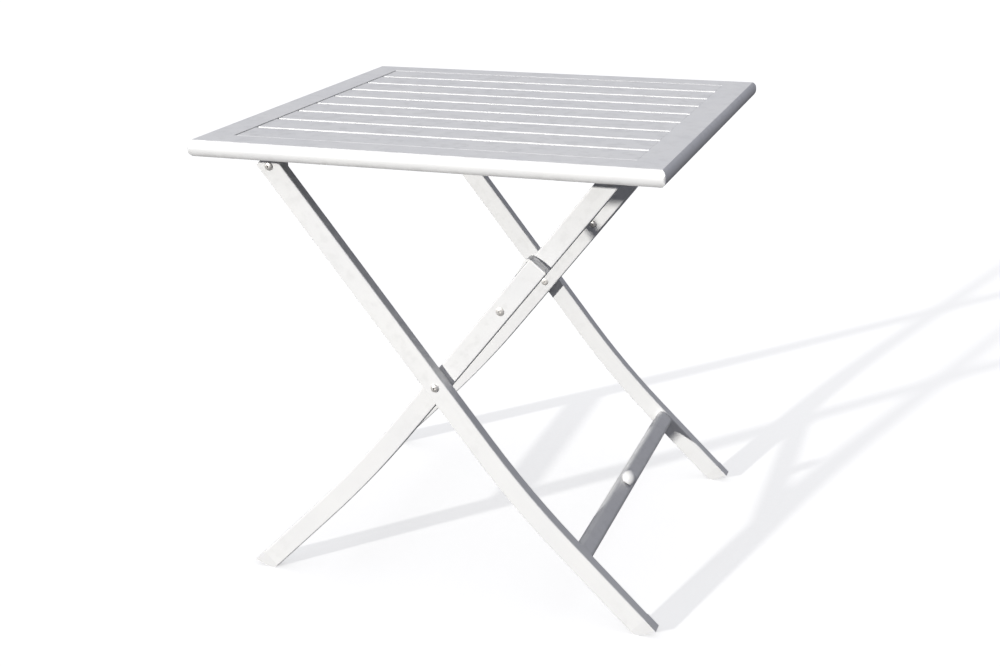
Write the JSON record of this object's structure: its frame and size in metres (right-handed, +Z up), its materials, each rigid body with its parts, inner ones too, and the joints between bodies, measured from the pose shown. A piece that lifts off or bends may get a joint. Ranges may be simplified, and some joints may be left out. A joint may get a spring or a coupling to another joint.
{
  "type": "folding table",
  "caption": "Square slatted folding table on two pairs of crossed tube legs that fold flat under the top.",
  "frame": {"origin": "on the floor under the middle of the square top", "axes": "+X along the slats, towards the side under which the legs with the outer crossbar stand; +Y across the slats, from the front legs to the rear legs; +Z up"},
  "size_m": [0.7, 0.7, 0.72],
  "materials": {
    "painted_rails": "white powder coat, satin",
    "painted_slats": "white powder coat, satin",
    "painted_legs": "white powder coat, satin",
    "painted_bearers": "white powder coat, satin",
    "stainless": "stainless steel, turned",
    "cast_keys": "die-cast, as cast",
    "nylon": "natural nylon",
    "foot_plastic": "moulded white plastic",
    "bumper_plastic": "moulded white soft plastic",
    "dark_plastic": "moulded grey plastic",
    "white_plastic": "moulded white plastic"
  },
  "bodies": {
    "tabletop": {"front_rail": "painted_rails", "rear_rail": "painted_rails", "left_rail": "painted_rails", "right_rail": "painted_rails", "corner_keys": "cast_keys", "slat_1": "painted_slats", "slat_2": "painted_slats", "slat_3": "painted_slats", "slat_4": "painted_slats", "slat_5": "painted_slats", "slat_6": "painted_slats", "slat_7": "painted_slats", "slat_8": "painted_slats", "slat_9": "painted_slats", "slat_end_plugs": "dark_plastic", "slat_screws": "stainless", "left_bearer": "painted_bearers", "right_bearer": "painted_bearers", "bearer_plugs": "white_plastic", "bearer_screws": "stainless", "outer_leg_pivot_screws": "stainless", "upper_arm_pivot_screws": "stainless", "bearer_washers": "nylon"},
    "outer_legs": {"outer_leg_front": "painted_legs", "outer_leg_rear": "painted_legs", "outer_crossbar": "painted_legs", "outer_leg_plug_front": "white_plastic", "outer_leg_plug_rear": "white_plastic", "outer_foot_front": "foot_plastic", "outer_foot_rear": "foot_plastic", "bumper_ball": "bumper_plastic", "scissor_screws": "stainless", "outer_leg_bushes": "nylon"},
    "upper_arms": {"upper_arm_front": "painted_legs", "upper_arm_rear": "painted_legs", "upper_arm_plug_front": "white_plastic", "upper_arm_plug_rear": "white_plastic", "upper_arm_end_plug_front": "white_plastic", "upper_arm_end_plug_rear": "white_plastic", "toggle_screws": "stainless", "toggle_sleeves": "stainless", "upper_arm_bushes": "nylon", "toggle_washers": "nylon"},
    "inner_legs": {"inner_leg_front": "painted_legs", "inner_leg_rear": "painted_legs", "inner_crossbar": "painted_legs", "inner_leg_cap_front": "white_plastic", "inner_leg_cap_rear": "white_plastic", "inner_foot_front": "foot_plastic", "inner_foot_rear": "foot_plastic", "scissor_sleeves": "stainless", "inner_leg_bushes": "nylon", "scissor_washers": "nylon"}
  },
  "joints": [
    {"name": "outer_leg_fold", "type": "hinge", "parent": "tabletop", "child": "outer_legs", "pos_m": [-0.25, 0, 0.676], "axis": [0, -1, 0], "range_deg": [0, 51.78]},
    {"name": "upper_arm_fold", "type": "hinge", "parent": "tabletop", "child": "upper_arms", "pos_m": [0.25, 0, 0.676], "axis": [0, 1, 0], "range_deg": [0, 51.78]},
    {"name": "toggle_fold", "type": "hinge", "parent": "upper_arms", "child": "inner_legs", "pos_m": [0.09534, 0, 0.47958], "axis": [0, -1, 0], "range_deg": [0, 180]}
  ],
  "couplings": [
    {"joint": "upper_arm_fold", "follows": "outer_leg_fold", "ratio": 1},
    {"joint": "toggle_fold", "follows": "outer_leg_fold", "ratio": 3.476}
  ]
}
